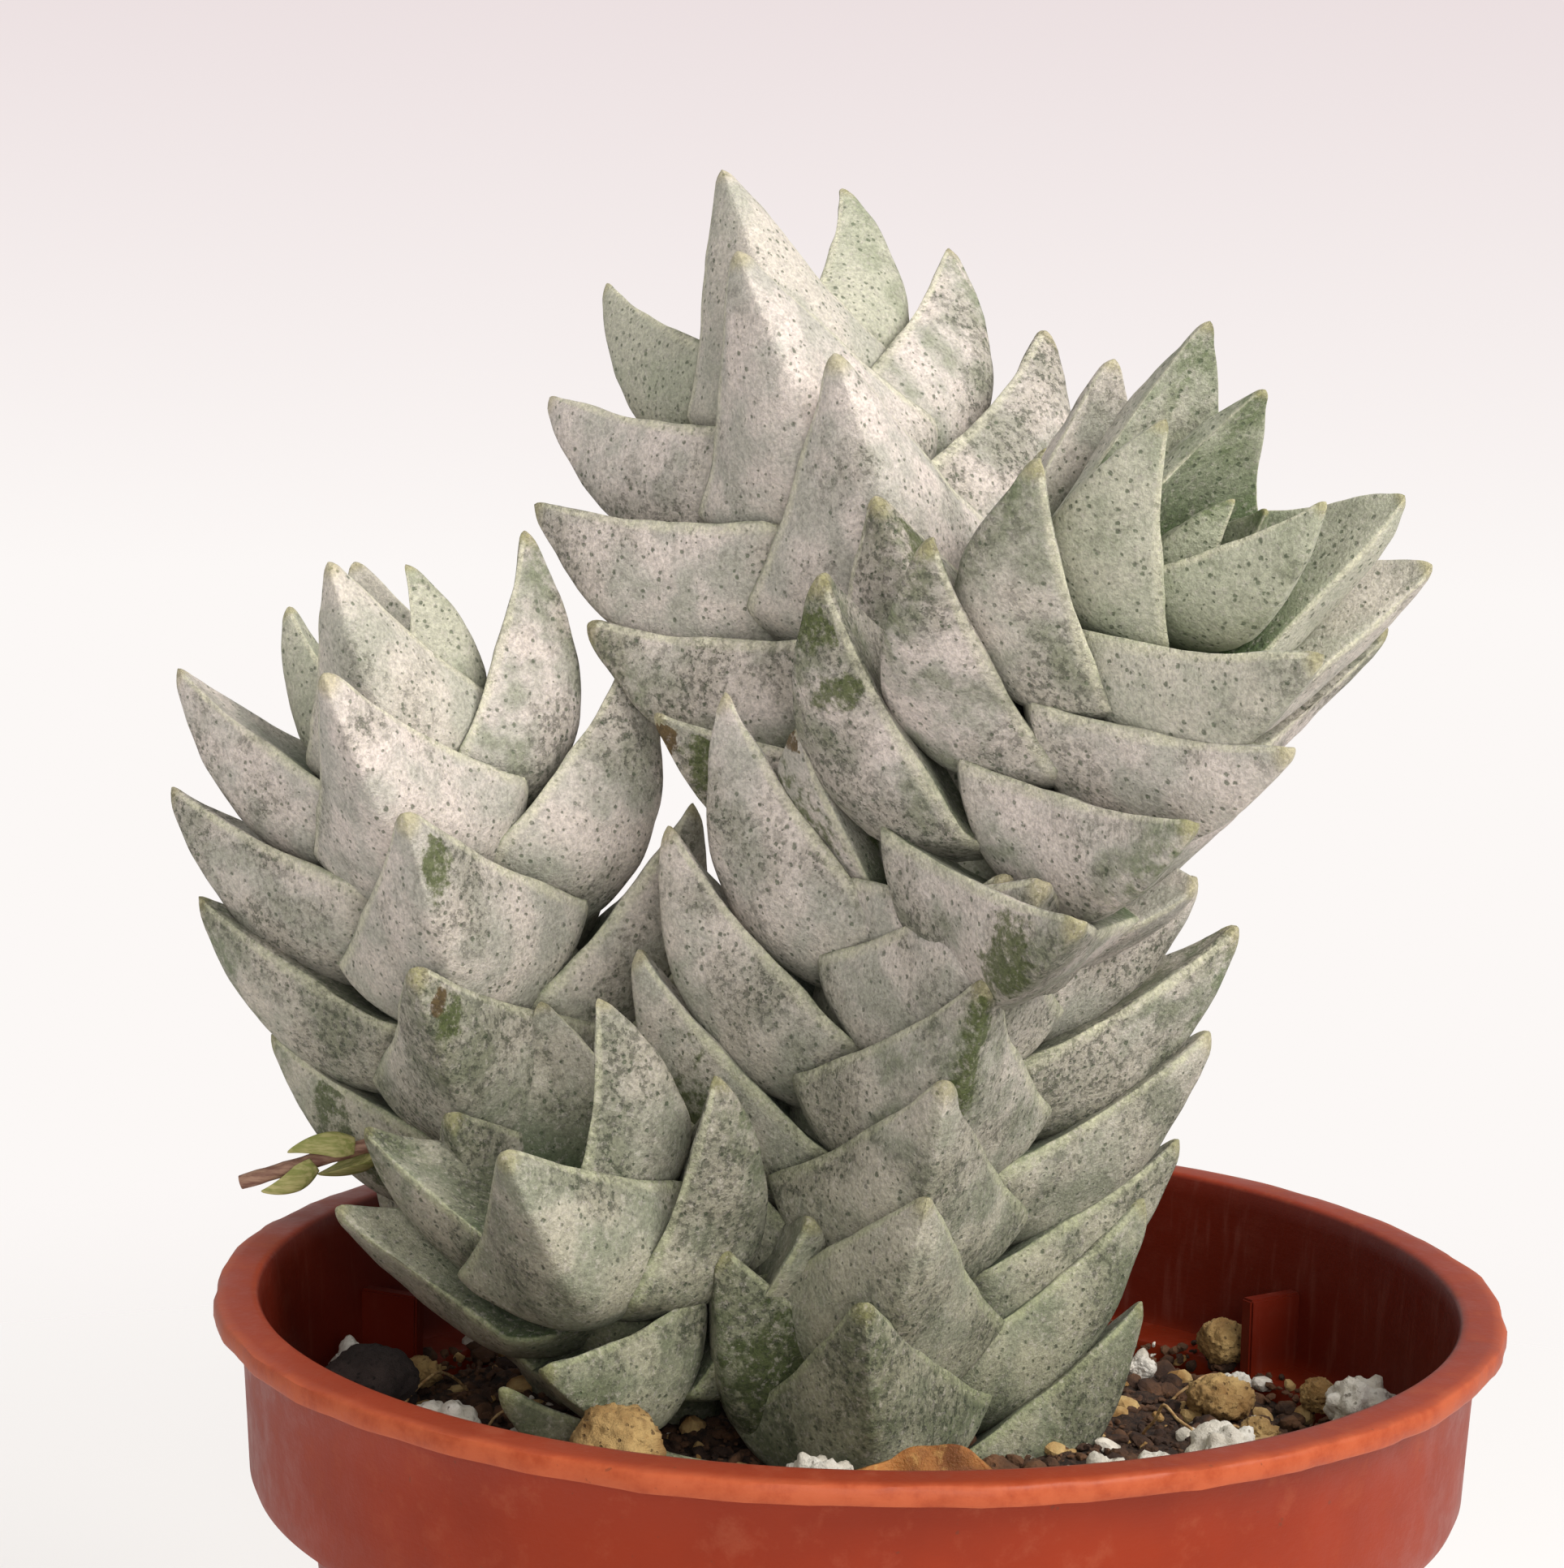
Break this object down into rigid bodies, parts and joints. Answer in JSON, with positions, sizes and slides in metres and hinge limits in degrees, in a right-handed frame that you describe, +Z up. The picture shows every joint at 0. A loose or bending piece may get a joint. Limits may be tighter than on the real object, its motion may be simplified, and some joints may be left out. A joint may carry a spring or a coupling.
{
  "type": "potted succulent",
  "caption": "Small crassula succulent with columns of thick mealy grey-green leaves in crossed pairs, in a terracotta-coloured plastic nursery pot with a stony top dressing.",
  "frame": {"origin": "centre of the pot's flat underside", "axes": "+Z up out of the pot, -Y to the side that faces the viewer, +X to the viewer's right"},
  "size_m": [0.0701, 0.065, 0.1121],
  "materials": {
    "pot": "satin",
    "soil": "matte",
    "leaves": "matte",
    "stalk": "matte",
    "dry_leaf": "matte",
    "lava": "matte",
    "perlite": "matte",
    "pumice": "matte",
    "bark": "matte"
  },
  "bodies": {
    "root": {"pot": "pot", "soil": "soil", "main_stem": "leaves", "low_shoot": "leaves", "left_stem": "leaves", "top_branch": "leaves", "flower_stalk": "stalk", "dry_leaf": "dry_leaf", "lava_1": "lava", "lava_2": "lava", "lava_3": "lava", "lava_4": "lava", "lava_5": "lava", "perlite_1": "perlite", "perlite_2": "perlite", "perlite_3": "perlite", "perlite_4": "perlite", "perlite_5": "perlite", "perlite_6": "perlite", "perlite_7": "perlite", "perlite_8": "perlite", "perlite_9": "perlite", "perlite_10": "perlite", "perlite_11": "perlite", "perlite_12": "perlite", "perlite_13": "perlite", "perlite_14": "perlite", "perlite_15": "perlite", "perlite_16": "perlite", "pumice_1": "pumice", "pumice_2": "pumice", "pumice_3": "pumice", "pumice_4": "pumice", "pumice_5": "pumice", "pumice_6": "pumice", "pumice_7": "pumice", "pumice_8": "pumice", "pumice_9": "pumice", "pumice_10": "pumice", "pumice_11": "pumice", "pumice_12": "pumice", "pumice_13": "pumice", "pumice_14": "pumice", "bark_1": "bark", "bark_2": "bark", "bark_3": "bark"}
  },
  "joints": []
}
